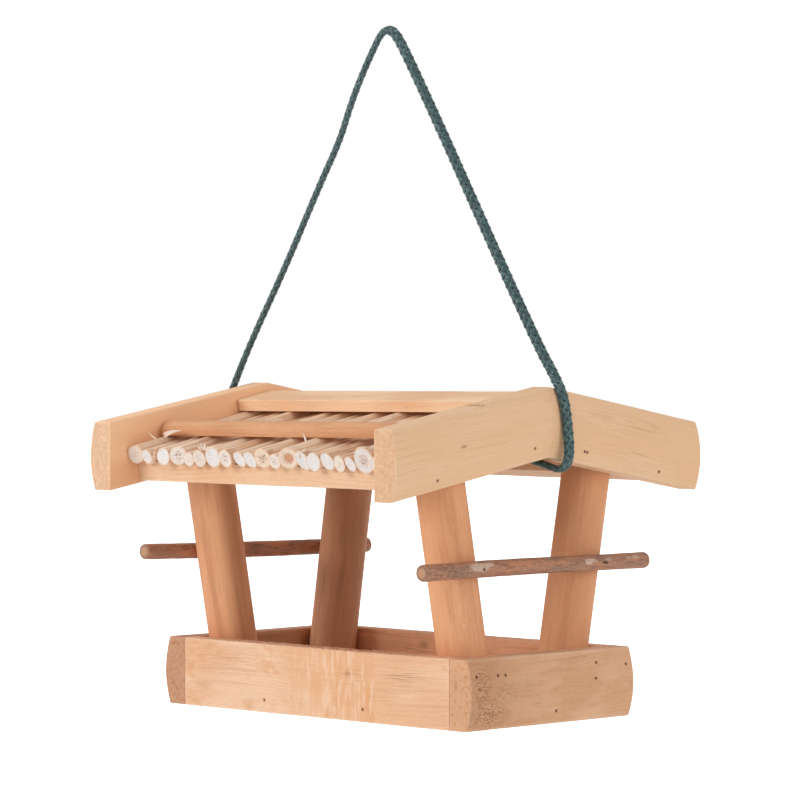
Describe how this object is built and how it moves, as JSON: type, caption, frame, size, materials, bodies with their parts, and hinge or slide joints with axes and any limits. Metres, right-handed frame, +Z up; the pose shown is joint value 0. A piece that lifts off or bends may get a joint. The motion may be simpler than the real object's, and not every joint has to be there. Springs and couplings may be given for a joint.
{
  "type": "bird table",
  "caption": "Hanging bird table: an open tray on splayed posts under a low reed-covered roof, with a perch at each end, hung on a braided cord loop.",
  "frame": {"origin": "where a hook bears on the cord, at the top of its loop", "axes": "+X along the roof's ridge towards the right end, +Y towards the back slope, +Z up"},
  "size_m": [0.2894, 0.277, 0.4384],
  "materials": {
    "end_board": "raw sawn",
    "side_board": "raw sawn",
    "floor_board": "raw sawn",
    "post": "turned pole",
    "perch": "peeled stick",
    "gable_board": "raw sawn",
    "batten": "raw sawn",
    "reed": "cut reed",
    "ridge_board": "raw sawn",
    "cleat": "raw sawn",
    "brad": "dull",
    "cord": "braided"
  },
  "bodies": {
    "sling": {"cord_loop": "cord"},
    "table": {"tray_end_left": "end_board", "tray_end_right": "end_board", "tray_side_front": "side_board", "tray_side_back": "side_board", "tray_floor": "floor_board", "post_front_left": "post", "post_front_right": "post", "post_back_left": "post", "post_back_right": "post", "perch_left": "perch", "perch_right": "perch", "gable_front_left": "gable_board", "gable_back_left": "gable_board", "gable_front_right": "gable_board", "gable_back_right": "gable_board", "eave_batten_front": "batten", "eave_batten_back": "batten", "ridge_batten_front": "batten", "ridge_batten_back": "batten", "reeds_front": "reed", "reeds_back": "reed", "ridge_board_front": "ridge_board", "ridge_board_back": "ridge_board", "cleat_front": "cleat", "cleat_back": "cleat", "tray_brads": "brad", "perch_brads": "brad", "gable_brads": "brad", "clamp_brads": "brad", "cord_right": "cord", "cord_left": "cord", "cord_knot": "cord"}
  },
  "joints": [
    {"name": "table_swing", "type": "hinge", "parent": "sling", "child": "table", "pos_m": [0.004, 0.0025, -0.2236], "axis": [0.9985, 0.0549, 0.0018], "range_deg": [-60, 60]}
  ]
}
